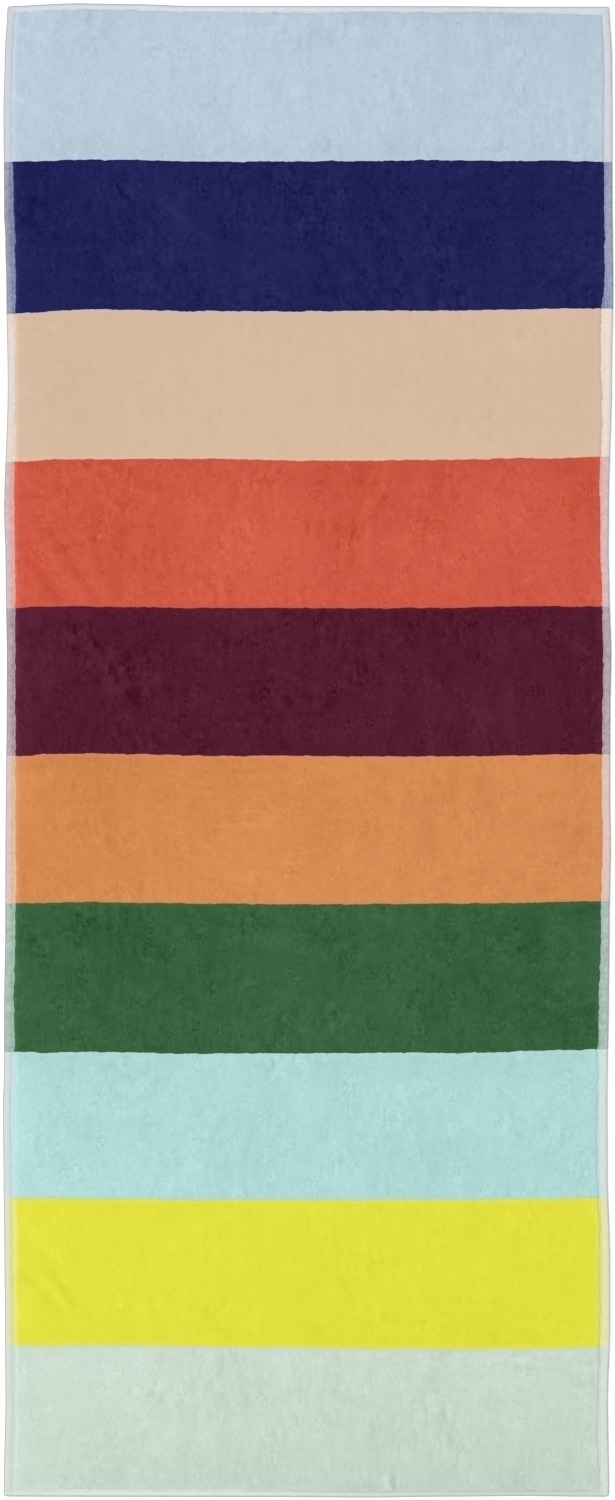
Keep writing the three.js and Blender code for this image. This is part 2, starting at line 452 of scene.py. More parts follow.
# %% Shape the ground cloth
HEM_PROFILE = table("share height", [
    (0.03, 1.55),
    (0.07, 1.95),
    (0.13, 2.25),
    (0.23, 2.4),
    (0.4, 2.3),
    (0.55, 2.15),
    (0.66, 1.95),
    (0.74, 1.6),
    (0.8, 1.3),
    (0.86, 1.2),
    (0.93, 1.25),
    (1.0, 1.3),
    (1.12, 1.3),
    (1.25, 1.3),
    (1.4, 1.3),
], plain="share")
HEM_END = 0.85
CORNER_DOUBLING = 0.4 * MM
DOUBLED_BY = 0.2


def from_edges(across, down):
    """How far a place lies from the nearer long edge and from the nearer short one."""
    return np.minimum(across, CLOTH_WIDTH - across), np.minimum(down, CLOTH_LENGTH - down)


def hem_share(across, down):
    """How far in from the outer fold a place lies, as a share of the hem's own width."""
    from_side, from_end = from_edges(across, down)
    return np.minimum(from_side / SIDE_HEM, from_end / END_HEM)


def hem_top(across, down):
    """The height of the hem's upper face over its lower one."""
    share = hem_share(across, down)
    doubled = CORNER_DOUBLING * soft_step(share, 0, DOUBLED_BY)
    for distance, hem in zip(from_edges(across, down), (SIDE_HEM, END_HEM)):
        doubled = doubled * (1 - soft_step(distance, HEM_END * hem, hem))
    return read_table(HEM_PROFILE, "height", share) + doubled


# %% [markdown]
# The rows of the grid fall exactly on the lines where the colours change, so that each face of the hem
# belongs to one band. The upper and the lower face share the same plan, and a loop of points half way
# up, pushed out to the very edge, rounds the fold between them. The points also keep how far the outer
# fold is darkened towards grey, which is painted shade where the fold turns away from the light and
# meets the floor, with a row of the first table for the left, right, far and near side. They also keep
# how many steps lighter than usual the weave is towards the pile, which is painted light and shade of
# the hem's slopes.

# %% Build the ground cloth
# Painted shade on the outer fold: how grey it is, and how far in it reaches, on the left, right, far and
# near side.
FOLD_PAINTED_SHADE = table("grey reach", [
    (0.95, 0.14),
    (0.52, 0.14),
    (0.95, 0.2),
    (0.9, 0.28),
], plain="grey reach")
# Painted light and shade of the hem's slopes towards the pile, in steps lighter than usual: along the
# left and right side, then along the far and near end.
SIDE_PAINTED_SHADING = table("down left right", [
    (182, 0, 1),
    (215, -4, 7),
    (270, -9, 12),
    (320, -2, 8),
    (356, 0, 0),
], plain="left right")
END_PAINTED_SHADING = table("across far near", [
    (30, 8, 5),
    (90, 9, 9),
    (200, 9, 9),
    (300, 8, 6),
    (370, 9, 2),
    (450, 8, -3),
    (540, 6, -7),
    (620, 6, -9),
    (690, 8, -6),
], plain="far near")
PAINTED_SHADING_SPAN = (0.15, 0.55)
FOLD_MIDDLE = 1.0 * MM
FOLD_LOW = 0.4 * MM
FOLD_TURN = (0.02, 0.12)
SEAM_SHARE = 0.83
SEAM_WIDTH = 0.08
SEAM_PULL = 0.25 * MM
PUCKER = 0.07 * MM
PUCKER_DOWN = 3 * MM
PUCKER_ACROSS = 6 * MM
PUCKER_STARTS = (0.1, 0.35)
PUCKER_ENDS = (0.8, 1.1)
CLOTH_STEP_ACROSS = 11 * MM
CLOTH_STEP_DOWN = 4 * MM
side_places = HEM_PROFILE["share"] * SIDE_HEM
end_places = HEM_PROFILE["share"] * END_HEM
cloth_columns = spaced(0, CLOTH_WIDTH, side_places, side_places, CLOTH_STEP_ACROSS)
row_starts = [end_places] + [np.zeros(1)] * (len(BANDS) - 1)
cloth_rows = np.unique(np.concatenate([
    spaced(start, end, near_start, near_end, CLOTH_STEP_DOWN)
    for start, end, near_start, near_end in zip(band_ends, band_ends[1:], row_starts, row_starts[::-1])
]))


def nearest_side(across, down):
    """The number of the side whose hem a place lies nearest to: left, right, far or near."""
    from_left, from_far = across / SIDE_HEM, down / END_HEM
    from_right, from_near = (CLOTH_WIDTH - across) / SIDE_HEM, (CLOTH_LENGTH - down) / END_HEM
    return np.argmin([from_left, from_right, from_far, from_near], axis=0)


def painted_fold_shade(across, down):
    """How far the outer fold is darkened towards grey, as painted shade."""
    grey, reach = (column[nearest_side(across, down)] for column in FOLD_PAINTED_SHADE.values())
    return grey * np.maximum(0, 1 - hem_share(across, down) / reach)


def hem_painted_shading(across, down):
    """How many steps lighter or darker the weave of a hem is painted, as painted light and shade of its
    slopes.
    """
    columns = [read_table(SIDE_PAINTED_SHADING, key, down) for key in ("left", "right")]
    columns += [read_table(END_PAINTED_SHADING, key, across) for key in ("far", "near")]
    return np.choose(nearest_side(across, down), columns) * soft_step(hem_share(across, down), *PAINTED_SHADING_SPAN)


def ground_cloth():
    """The closed sheet of cloth with its hems, its faces and what is kept at its points."""
    across, down = np.meshgrid(cloth_columns, cloth_rows)
    rows, columns = across.shape
    loop = outer_loop(rows, columns)
    x, y = in_plan(across, down)
    lift = stand_off(x, y)
    share = hem_share(across, down)
    on_hem = soft_step(share, *PUCKER_STARTS) * (1 - soft_step(share, *PUCKER_ENDS))
    pucker = PUCKER * mottle(across.shape, CLOTH_STEP_DOWN, PUCKER_DOWN, PUCKER_ACROSS) * on_hem
    seam = SEAM_PULL * np.exp(-(((share - SEAM_SHARE) / SEAM_WIDTH) ** 2))
    turned = FOLD_LOW * (1 - soft_step(share, *FOLD_TURN))
    top = as_points(x, y, lift + hem_top(across, down) + pucker)
    low = as_points(x, y, lift + np.maximum(seam, turned))
    rim_columns, rim_rows = cloth_columns.copy(), cloth_rows.copy()
    rim_columns[[0, -1]] = 0, CLOTH_WIDTH
    rim_rows[[0, -1]] = 0, CLOTH_LENGTH
    rim = as_points(*in_plan(*np.meshgrid(rim_columns, rim_rows)), lift + FOLD_MIDDLE)[loop]
    faces = grid_faces(rows, columns)
    rim_loop = 2 * rows * columns + np.arange(len(loop))
    closed = np.concatenate([
        faces,
        faces[:, ::-1] + rows * columns,
        between_loops(loop, rim_loop),
        between_loops(rim_loop, loop + rows * columns),
    ])
    kept = {
        "cut_place": as_points(across, down, 0),
        "hem_share": share.ravel(),
        "painted_fold_shade": painted_fold_shade(across, down).ravel(),
        "painted_shading": hem_painted_shading(across, down).ravel(),
    }
    fields = {field: np.concatenate([values, values, values[loop]]) for field, values in kept.items()}
    points = np.concatenate([top, low, rim])
    return make_piece("towel_cloth", points, closed.tolist(), fields), closed, fields


towel_cloth, cloth_faces, cloth_fields = ground_cloth()
print("ground cloth:", len(cloth_rows), "rows of", len(cloth_columns), "points on each face")

# %% [markdown]
# ## The pile
#
# Each band's pile is a raised pad of velour about 1.7 mm deep on the ground cloth. Its top is a relief:
# the shears leave it uneven by a few hundredths of a millimetre from tuft to tuft and by more over a
# hand's breadth. A whole field of heights is worked out once, on one grid over the whole towel, and each
# band takes its own rows, so that neighbours meet exactly on their shared line. Real hair would need
# millions of strands for the same look from this far, so the relief carries the form and the material
# carries the tufts. Along the hem the outermost tufts lean out over a ragged edge.

# %% Lay out the pile
PILE_STEP = 2.0 * MM
PILE_EDGE = np.array([0, 0.3, 0.8, 1.5, 2.4, 3.5]) * MM
PILE_SHOULDER = 3.5 * MM
PILE_FOOT = 1.4 * MM
PILE_BASE = 1.2 * MM
RAGGED_SIDE = 0.4 * MM
RAGGED_LINE = 0.35 * MM
RAGGED_REACH = 3.5 * MM
WANDER_REACH = 9 * MM
TUFT_SIZES = (1.3, 5)
pile_columns = spaced(SIDE_HEM, CLOTH_WIDTH - SIDE_HEM, PILE_EDGE, PILE_EDGE, PILE_STEP)
pile_ends = np.concatenate([[END_HEM], band_ends[1:-1], [CLOTH_LENGTH - END_HEM]])
pile_rows = np.unique(np.concatenate([
    spaced(start, end, PILE_EDGE, PILE_EDGE, PILE_STEP) for start, end in zip(pile_ends, pile_ends[1:])
]))
first_rows = np.searchsorted(pile_rows, pile_ends)
print("pile field:", len(pile_rows), "rows of", len(pile_columns), "points")

# %% [markdown]
# The relief adds up unevenness at four sizes. Each is about twice as large and a little higher than the
# one before, so that the slopes, which are what light shows, stay about the same at every size.

# %% Shear the pile unevenly
RELIEF = table("wide tall height", [
    (1.6, 2.6, 0.045),
    (3, 5, 0.055),
    (6, 9, 0.065),
    (13, 16, 0.07),
])
across, down = np.meshgrid(pile_columns, pile_rows)
from_side = np.minimum(across - pile_columns[0], pile_columns[-1] - across)
from_end = np.minimum(down - pile_rows[0], pile_rows[-1] - down)
from_hem = np.minimum(from_side, from_end)
relief = sum(height * mottle(across.shape, PILE_STEP, tall, wide) for wide, tall, height in each(RELIEF))


def ragged(shape, reach, distance):
    """A shift that is different at each tuft along an edge and fades with the distance from it."""
    tufts = sum(mottle(shape, PILE_STEP, size * MM, size * MM) for size in TUFT_SIZES)
    return reach * tufts / math.sqrt(len(TUFT_SIZES)) * np.exp(-((distance / RAGGED_REACH) ** 2))


# %% [markdown]
# The ragged shifts move the tufts sideways along the long hems and up or down along the short hems and
# the colour lines. They come from one row or column of random numbers each, repeated over the grid, so
# a line stays one line. Besides, the hems were turned in by hand, so they are wider in some places than
# in others: each row of the two tables says how much further in than usual the pile starts. The pile
# rises from its foot at the hem in a soft shoulder, as a cut edge of fur does.

# %% Raise the pile
PILE_STARTS = table("down left right", [
    (0, -1.8, -1.6),
    (80, -1.8, -1.5),
    (150, -1.2, -0.8),
    (215, 0.1, -1.4),
    (250, 0.6, -1.5),
    (325, 0.1, -0.8),
    (356, -0.8, 2.6),
    (390, -0.5, 2.7),
    (426, -2.4, 1.9),
    (463, -2.0, 0.3),
    (500, -0.6, -0.2),
    (564, 0.5, 0),
    (637, 0.4, -1.4),
    (673, -0.1, -1.9),
    (737, -0.9, -1.6),
    (810, -1.2, -1.8),
    (847, -0.5, -1.7),
    (910, 0, -0.6),
    (983, 1.0, -1.4),
    (1020, 1.7, -0.4),
    (1084, 1.0, -1.2),
    (1120, 0.8, -0.8),
    (1157, 0.2, 0.5),
    (1194, 1.0, 0.7),
    (1260, 2.3, 0.3),
    (1331, 1.7, 1.3),
    (1367, 1.6, 0.6),
    (1432, 1.0, -0.6),
    (1468, 1.4, 0),
    (1505, -0.5, 0.2),
    (1541, 0, 0.5),
    (1604, 0.8, 0.3),
    (1640, 1.0, -0.5),
    (1677, 1.1, 1.5),
    (1730, 1.0, 0.2),
])
END_STARTS = table("across far near", [
    (0, 0.6, 1.0),
    (50, -0.2, 0.5),
    (120, -0.7, 0.3),
    (250, -0.5, 0),
    (350, -0.2, -0.5),
    (440, -0.8, -1.0),
    (560, -0.6, -1.0),
    (620, 0.2, -1.0),
    (665, 0.5, -1.0),
    (690, 1.7, -0.6),
])
wander = np.where(
    across < CLOTH_WIDTH / 2,
    read_table(PILE_STARTS, "left", down),
    -read_table(PILE_STARTS, "right", down),
)
side_ragged = ragged((len(pile_rows), 1), RAGGED_SIDE, from_side)
side_ragged = side_ragged + wander * np.exp(-((from_side / WANDER_REACH) ** 2))
row_ragged = np.zeros(across.shape)
for line in band_ends[1:-1]:
    row_ragged += ragged((1, len(pile_columns)), RAGGED_LINE, np.abs(down - line))
for end, column, inward in ((pile_rows[0], "far", 1), (pile_rows[-1], "near", -1)):
    distance = np.abs(down - end)
    row_ragged += ragged((1, len(pile_columns)), RAGGED_SIDE, distance)
    start = inward * read_table(END_STARTS, column, across)
    row_ragged += start * np.exp(-((distance / WANDER_REACH) ** 2))
x, y = in_plan(across + side_ragged, down + row_ragged)
shoulder = np.sin(np.clip(from_hem / PILE_SHOULDER, 0, 1) * math.pi / 2)
fullness = PILE_FOOT + (PILE_THICKNESS - PILE_FOOT) * shoulder
rise = crumpled(x, y, "rise")
height = stand_off(x, y) + fullness + (relief + rise) * shoulder
print("pile top in mm:", round(float(height.min()) / MM, 2), "to", round(float(height.max()) / MM, 2))

# %% [markdown]
# ## Lighter and darker clouds
#
# Velour looks lighter where its tufts lean towards the light and darker where they lean away, in clouds
# that a passing hand would change. The table places the larger clouds of each band, from the middle of
# the towel; a cloud is a soft oval. The crumples and a random mottle are added, and the result is kept
# at the points of the pile as its nap, in steps of the faintest difference that the eye can see. The
# mottle is stronger in a lively band, and its last layer draws the cloth's own lengthwise streaks.
# Wisps are added where the wash has stroked a hand's breadth of the nap one way or another: streaky
# fields at several turns, of which the one along the rows of tufts, at a turn of 0 degrees, shows most.
# Each is strong in some places and weak in the rest, and the finer ones are stronger in patches about
# two fingers wide, where the tufts have opened.

# %% Stroke the nap
CLOUDS = {
    "light_blue": [
        (-150, 790, 230, 70, 1.5),
        (290, 875, 200, 50, -4),
        (-220, 700, 120, 30, -4),
        (120, 695, 180, 30, -2.5),
        (335, 835, 25, 30, -1.5),
        (175, 868, 130, 14, -4.5),
        (332, 752, 25, 35, 4),
        (-335, 800, 20, 50, 3.5),
        (0, 869, 340, 9, -4),
    ],
    "navy": [
        (-325, 635, 55, 55, -3.5),
        (-265, 590, 25, 25, -2.5),
        (-155, 575, 50, 45, 3),
        (-45, 560, 60, 40, 3),
        (110, 655, 140, 20, -2.5),
        (185, 560, 30, 45, -2),
        (-333, 683, 30, 12, -3.5),
        (146, 523, 30, 9, 6),
        (-195, 523, 30, 9, 4),
    ],
    "sand": [
        (-265, 430, 60, 130, -2.5),
        (-100, 515, 170, 18, -1.5),
        (275, 500, 60, 35, 1.5),
        (70, 365, 240, 30, 1),
    ],
    "coral_red": [
        (-75, 230, 75, 65, 7),
        (-240, 290, 80, 90, -2.5),
        (60, 330, 110, 38, -6.5),
        (130, 285, 45, 22, -4),
        (338, 300, 35, 55, -8),
        (200, 225, 90, 40, 3),
        (235, 280, 45, 22, 3),
        (295, 335, 25, 18, -4.5),
        (-2, 336, 30, 12, 5),
        (-55, 321, 20, 12, -5),
        (50, 264, 80, 14, -4),
    ],
    "plum": [
        (-330, 90, 45, 70, 5),
        (120, 165, 240, 35, -3),
        (-60, 150, 35, 22, 3),
        (219, 131, 14, 14, 5),
        (200, 32, 9, 22, 6),
        (200, 35, 90, 40, 2.5),
        (-150, 163, 220, 10, 3.5),
        (-230, 92, 12, 20, 4),
        (-187, 27, 14, 18, -4),
    ],
    "orange": [
        (-245, -50, 60, 120, -5),
        (265, -35, 40, 35, 3),
        (-130, -12, 110, 20, -3),
        (70, -168, 260, 45, 3),
        (-40, -94, 25, 18, 4.5),
        (318, -98, 15, 30, -3),
        (-300, -12, 45, 12, -4),
        (332, -93, 14, 20, 5),
        (294, -138, 18, 16, 4.5),
        (-288, -150, 20, 18, -4.5),
    ],
    "green": [
        (-220, -225, 85, 48, -5),
        (-325, -300, 45, 50, 5),
        (-42, -222, 30, 12, 7),
        (-50, -240, 45, 30, 2),
        (-10, -315, 110, 35, 4),
        (262, -218, 20, 32, -8),
        (225, -250, 55, 40, -2.5),
        (283, -225, 7, 30, 4),
        (309, -235, 7, 28, 3),
        (-127, -295, 9, 25, 3.5),
        (325, -318, 50, 30, -4),
        (50, -190, 60, 15, 3),
        (160, -290, 35, 35, -2.5),
        (335, -186, 25, 14, -7),
        (-335, -188, 22, 12, 4.5),
        (288, -344, 25, 10, 4.5),
        (-300, -346, 50, 10, 5.5),
        (191, -325, 18, 18, 5.5),
        (272, -315, 16, 16, 4),
    ],
    "aqua": [
        (-340, -440, 35, 100, 5.5),
        (-230, -512, 110, 35, 4),
        (180, -365, 200, 20, -3.5),
        (-220, -365, 100, 20, -3),
        (160, -485, 65, 35, -3),
        (31, -363, 22, 10, -3.5),
        (-3, -414, 18, 18, 3.5),
        (-335, -455, 14, 30, 4),
    ],
    "yellow": [
        (-150, -590, 90, 60, 1.5),
        (100, -690, 250, 28, -2),
        (-325, -550, 35, 40, 2),
        (-335, -655, 18, 25, 3),
    ],
    "mint": [
        (-270, -725, 160, 70, 5),
        (240, -735, 80, 30, 1.5),
        (200, -865, 230, 65, -6),
        (-120, -868, 160, 30, -3.5),
        (125, -785, 30, 20, -3),
        (200, -868, 200, 10, -4),
        (-270, -864, 70, 18, -3),
        (50, -868, 80, 9, -4),
        (-28, -715, 25, 18, 4),
        (-333, -828, 20, 30, 3.5),
        (244, -706, 25, 12, 5),
        (294, -798, 20, 16, -4),
    ],
}
NAP_MOTTLE = table("wide tall lighter", [
    (13, 16, 0.4),
    (30, 35, 0.5),
    (3.5, 40, 0.5),
], plain="lighter")
WISP_TURNS = table("degrees share", [
    (0, 1),
    (25, 0.45),
    (-25, 0.45),
    (65, 0.3),
    (-65, 0.3),
    (90, 0.5),
], plain="degrees share")
WISP_SIZES = table("wide long lighter", [
    (1.2, 3.5, 1.7),
    (1.6, 5, 1.35),
    (3, 9, 0.78),
    (6, 18, 0.52),
    (12, 30, 0.4),
], plain="lighter")
WISP_PATCH = 60 * MM
WISP_SPREAD = 0.45
TUFTY_PATCH = 14 * MM
TUFTY_SPREAD = 0.38
TUFTY_WIDE = 2 * MM
DULL_SHARE = 0.25
# A painted highlight along the pile's edge at the hem, in steps and stronger the paler the dye is, and
# how far in it fades.
PILE_EDGE_HIGHLIGHT = 14
EDGE_HIGHLIGHT_REACH = 2.5 * MM


def wisps(shape):
    """Streaks of several sizes and turns, in steps of lightness."""
    tufty = TUFTY_SPREAD * mottle(shape, PILE_STEP, TUFTY_PATCH, TUFTY_PATCH)
    opened = np.exp(tufty - TUFTY_SPREAD**2)
    streaks = np.zeros(shape)
    power = np.zeros(shape)
    for degrees, share in each(WISP_TURNS):
        strength = share * np.exp(WISP_SPREAD * mottle(shape, PILE_STEP, WISP_PATCH, WISP_PATCH))
        power += strength**2
        for wide, long, lighter in each(WISP_SIZES):
            soft = mottle(shape, PILE_STEP, long, wide, math.radians(degrees))
            streaks += lighter * strength * (opened if wide <= TUFTY_WIDE else 1) * soft
    return streaks / np.sqrt(power)


row_band = np.clip(np.searchsorted(band_ends, pile_rows, side="right") - 1, 0, len(BANDS) - 1)
band_soft = np.array([DULL_SHARE + (1 - DULL_SHARE) * band["lively"] for band in BANDS])
band_edge_highlight = np.array([PILE_EDGE_HIGHLIGHT * brightness(from_hex(band["pile"])) for band in BANDS])
row_soft, row_edge_highlight = band_soft[row_band][:, None], band_edge_highlight[row_band][:, None]
# The nap starts from the crumples' painted light and shade and the painted highlight along the pile's
# edge at the hem.
nap = crumpled(x, y, "lighter") + row_edge_highlight * np.exp(-from_hem / EDGE_HIGHLIGHT_REACH)
nap += row_soft * wisps(across.shape)
for wide, tall, lighter in each(NAP_MOTTLE):
    nap += lighter * row_soft * mottle(across.shape, PILE_STEP, tall, wide)
for number, band in enumerate(BANDS):
    in_band = row_band == number
    clouds = table("x y wide tall lighter", CLOUDS[band["name"]], plain="lighter")
    for cloud_x, cloud_y, wide, tall, lighter in each(clouds):
        off_x, off_y = (x[in_band] - cloud_x) / wide, (y[in_band] - cloud_y) / tall
        nap[in_band] += lighter * np.exp(-(off_x**2) - off_y**2)

# %% [markdown]
# The last row of tufts beside a colour line stands a little apart from its neighbours. In a pale band
# it catches the light and in a dark one it falls into shade, which sharpens the line to the eye. The
# brighter band of each pair is found from the dyes themselves. Over the last few millimetres each band
# also takes up some of its neighbour's hue, because a loop or two of either dye strays over the line.

# %% Sharpen and tinge the colour lines
LINE_REACH = 1.6 * MM
LINE_LIGHTER = 2.5
STRAY_SHARE = 0.8
STRAY_REACH = 2.9 * MM


def stray_loops(down, line):
    """How far a place near a colour line has gone towards the hue half way between the two bands."""
    return STRAY_SHARE * np.exp(-(((down - line) / STRAY_REACH) ** 2))


for number, line in enumerate(band_ends[1:-1]):
    upper, lower = (brightness(from_hex(band["pile"])) for band in BANDS[number : number + 2])
    paler_side = np.where((down < line) == (upper > lower), 1, -1)
    nap += LINE_LIGHTER * paler_side * np.exp(-np.abs(down - line) / LINE_REACH) * (down != line)

# %% [markdown]
# Each band's pad is closed below by a loop of points just inside the ground cloth and one flat face, so
# every pad is a solid body with no stray faces. The loop is drawn in slightly, and neighbouring pads
# touch only along the top of their shared line. Each point keeps its place on the cloth, its nap, how
# near it lies to the hem, where the pile is thin and where pale bands take a painted highlight, and how
# near to the colour lines above and below it.

# %% Build the ten pads of pile
BASE_INSET = 0.4 * MM
RIM_REACH = 3.4 * MM


def pile_pad(number):
    """The pile of one band as a closed mesh: its relief, its sides and one flat face below."""
    rows = slice(first_rows[number], first_rows[number + 1] + 1)
    shape = across[rows].shape
    size = across[rows].size
    top = as_points(x[rows], y[rows], height[rows])
    loop = outer_loop(*shape)
    inward = np.sign(top.mean(axis=0) - top[loop]) * [1, 1, 0]
    base = top[loop] + inward * BASE_INSET
    base[:, 2] = stand_off(base[:, 0], base[:, 1]) + PILE_BASE
    base_loop = size + np.arange(len(loop))
    faces = grid_faces(*shape).tolist() + between_loops(loop, base_loop).tolist() + [base_loop.tolist()]
    kept = {
        "cut_place": as_points(across[rows], down[rows], 0),
        "nap": nap[rows].ravel(),
        "rim": np.exp(-from_hem[rows].ravel() / RIM_REACH),
        "upper_line": stray_loops(down[rows].ravel(), band_ends[number]),
        "lower_line": stray_loops(down[rows].ravel(), band_ends[number + 1]),
    }
    fields = {field: np.concatenate([values, values[loop]]) for field, values in kept.items()}
    return make_piece("pile_" + BANDS[number]["name"], np.concatenate([top, base]), faces, fields)


piles = [pile_pad(number) for number in range(len(BANDS))]
print("faces in each pad:", [len(pile.data.polygons) for pile in piles])

# %% [markdown]
# ## The sewing
#
# A lockstitch runs along the middle of each groove, about three stitches to the centimetre. Each stitch
# is a short bent length of thread whose ends dip into the cloth. They are built as one joined mesh from
# arrays: a small tube is described once, and the same rings of points are laid along all the stitches.

# %% Sew the hems
STITCH_PITCH = 3.0 * MM
STITCH_LENGTH = 2.5 * MM
SEAM_MARGIN = 1.5 * MM
THREAD_RADIUS = 0.2 * MM
THREAD_SIDES = 5
STITCH_RINGS = table("along rise round", [
    (-0.5, -0.35, 0.8),
    (-0.3, 0.1, 1.0),
    (0.3, 0.1, 1.0),
    (0.5, -0.35, 0.8),
], plain="along round")


def along_seam(edge_length):
    """How far along its edge of the cloth the middle of each stitch of a seam lies."""
    length = edge_length - 2 * SEAM_MARGIN
    count = int(length / STITCH_PITCH)
    return SEAM_MARGIN + length * (np.arange(count) + 0.5) / count


def sewn_hems():
    """All the stitches of the four hems as one mesh of small bent tubes."""
    side, end = SEAM_SHARE * SIDE_HEM, SEAM_SHARE * END_HEM
    downward, sideways = along_seam(CLOTH_LENGTH), along_seam(CLOTH_WIDTH)
    seams = [
        (side, downward),
        (CLOTH_WIDTH - side, downward),
        (sideways, end),
        (sideways, CLOTH_LENGTH - end),
    ]
    middles = np.concatenate([np.stack(np.broadcast_arrays(*seam), axis=-1) for seam in seams])
    runs_down = (np.arange(len(middles)) < 2 * len(downward))[:, None]
    on_hem = hem_top(*middles.T)[:, None]
    turn = np.arange(THREAD_SIDES) / THREAD_SIDES * 2 * math.pi
    rings = []
    for along, rise, wide in each(STITCH_RINGS):
        ahead = along * STITCH_LENGTH
        beside = wide * THREAD_RADIUS * np.cos(turn)
        above = wide * THREAD_RADIUS * np.sin(turn) + rise
        ring_x, ring_y = in_plan(
            middles[:, :1] + np.where(runs_down, beside, ahead),
            middles[:, 1:] + np.where(runs_down, ahead, -beside),
        )
        height_there = stand_off(ring_x, ring_y) + on_hem + above
        rings.append(np.stack([ring_x, ring_y, height_there], axis=-1))
    points = np.stack(rings, axis=1)
    number = np.arange(points[..., 0].size).reshape(points.shape[:3])
    after = np.roll(number, -1, axis=2)
    walls = np.stack([number[:, :-1], after[:, :-1], after[:, 1:], number[:, 1:]], axis=-1)
    ends = np.concatenate([number[:, 0, ::-1], number[:, -1]])
    faces = walls.reshape(-1, 4).tolist() + ends.tolist()
    return make_piece("hem_stitches", points.reshape(-1, 3), faces), len(middles)


hem_stitches, stitch_count = sewn_hems()
print(stitch_count, "stitches round the four hems")

# %% [markdown]
# ## Nodes with less typing
#
# Every material below is a small tree of nodes. One function adds a node and gives each of its inputs a
# value or the output of another node, and the next few name the steps that the materials share. A new
# material starts with its shader, whose own sockets take every value that is the same all over, and
# the last function gives that shader what differs from place to place.

# %% Add nodes
MIX_A, MIX_B, MIX_COLOUR = 6, 7, 2


def add_node(tree, kind, inputs=None, **settings):
    """A new node of a tree, with its settings and its inputs, each a value or another node's output."""
    node = tree.nodes.new(kind)
    for name, setting in settings.items():
        setattr(node, name, setting)
    for socket, source in (inputs or {}).items():
        if isinstance(source, bpy.types.NodeSocket):
            tree.links.new(source, node.inputs[socket])
        else:
            node.inputs[socket].default_value = source
    return node


def kept_at_points(tree, field, output="Fac"):
    """The values that the mesh keeps at its points."""
    return add_node(tree, "ShaderNodeAttribute", attribute_name=field).outputs[output]


def counted_in(tree, across_size, down_size):
    """The place on the cloth, counted in a size across it and a size down it."""
    place = kept_at_points(tree, "cut_place", "Vector")
    inputs = {"Vector": place, "Scale": (1 / across_size, 1 / down_size, 1)}
    return add_node(tree, "ShaderNodeMapping", inputs).outputs[0]


def noise(tree, place, scale, detail, roughness=0.5):
    """A noise from 0 to 1 over a place."""
    inputs = {"Vector": place, "Scale": scale, "Detail": detail, "Roughness": roughness}
    return add_node(tree, "ShaderNodeTexNoise", inputs).outputs["Fac"]


def ranged(tree, value, low, high, taken=None):
    """A value that runs from a low to a high one, as another does from 0 to 1 or as it is taken."""
    inputs = {"Value": value, "To Min": low, "To Max": high, **(taken or {})}
    return add_node(tree, "ShaderNodeMapRange", inputs).outputs[0]


def worked_out(tree, operation, *values, **settings):
    """The result of one operation on a few values."""
    inputs = dict(enumerate(values))
    return add_node(tree, "ShaderNodeMath", inputs, operation=operation, **settings).outputs[0]


def mixed(tree, share, first, second, **settings):
    """A colour that goes from a first to a second one as the share goes from 0 to 1."""
    inputs = {0: share, MIX_A: first, MIX_B: second}
    return add_node(tree, "ShaderNodeMix", inputs, data_type="RGBA", **settings).outputs[MIX_COLOUR]


def new_material(name, values):
    """An empty material with one shader, whose sockets start with these values."""
    material = bpy.data.materials.new(name)
    material.use_nodes = True
    tree = material.node_tree
    tree.nodes.clear()
    shader = add_node(tree, "ShaderNodeBsdfPrincipled", values)
    add_node(tree, "ShaderNodeOutputMaterial", {"Surface": shader.outputs[0]})
    return material, tree, shader


def dress(tree, shader, colour, relief, bump_inputs):
    """Joins a colour to a shader, and a fine relief to it through a bump."""
    bump = add_node(tree, "ShaderNodeBump", {"Height": relief, **bump_inputs})
    tree.links.new(colour, shader.inputs["Base Color"])
    tree.links.new(bump.outputs[0], shader.inputs["Normal"])


# %% [markdown]
# ## Cotton velour and terry
#
# Sheared cotton pile is almost perfectly matt: light goes in between the fibres and comes out in all
# directions, tinted by the dye. A faint sheen in the colour of the dye shows where it is seen at a low
# angle. Cotton's IOR is about 1.53, but its fibres point up and scatter what they reflect, so the
# specular level is set far below that of a smooth solid. The tufts are about 0.9 mm apart across and
# 1.5 mm down, and noise in those proportions, from one tuft up to four, gives the grain of the pile. It
# is stronger in some places than in others. The noise and the nap that the points hold are both counted
# in steps of lightness, about the faintest that shows. The mix node goes from the dye to the dye one
# step lighter, and it is not clamped, so a nap of -5 gives the dye five steps darker. The underside of
# the towel keeps its loops uncut, as terry, so there the same function draws coarser and rounder tufts.

# %% Make the velour
UNDYED = "#C6C6CC"
COTTON = {"IOR": 1.53, "Specular IOR Level": 0.1}
PILE_BUMP = {"Strength": 0.35, "Distance": 0.25 * MM}
TUFT = (0.9 * MM, 1.5 * MM)
LOOP = (1.8 * MM, 1.8 * MM)
COARSEST = 4
LIGHTER_STEP = 0.83
NOISE_STEPS = 30
PATCH = 22
PATCH_RANGE = 6.5
RIM_TINT = 0.012
PALE_RIM_HIGHLIGHT = 0.38


def half_way(dye, other):
    """A dye's hex code with the lightness that it has and a hue half way to that of another dye."""
    own, strange = channels(dye), channels(other)
    lift = brightness(own) - brightness(strange)
    parts = [(part + new + lift) / 2 for part, new in zip(own, strange)]
    return "#" + "".join("%02X" % round(min(CHANNEL_MAX, max(0, part))) for part in parts)


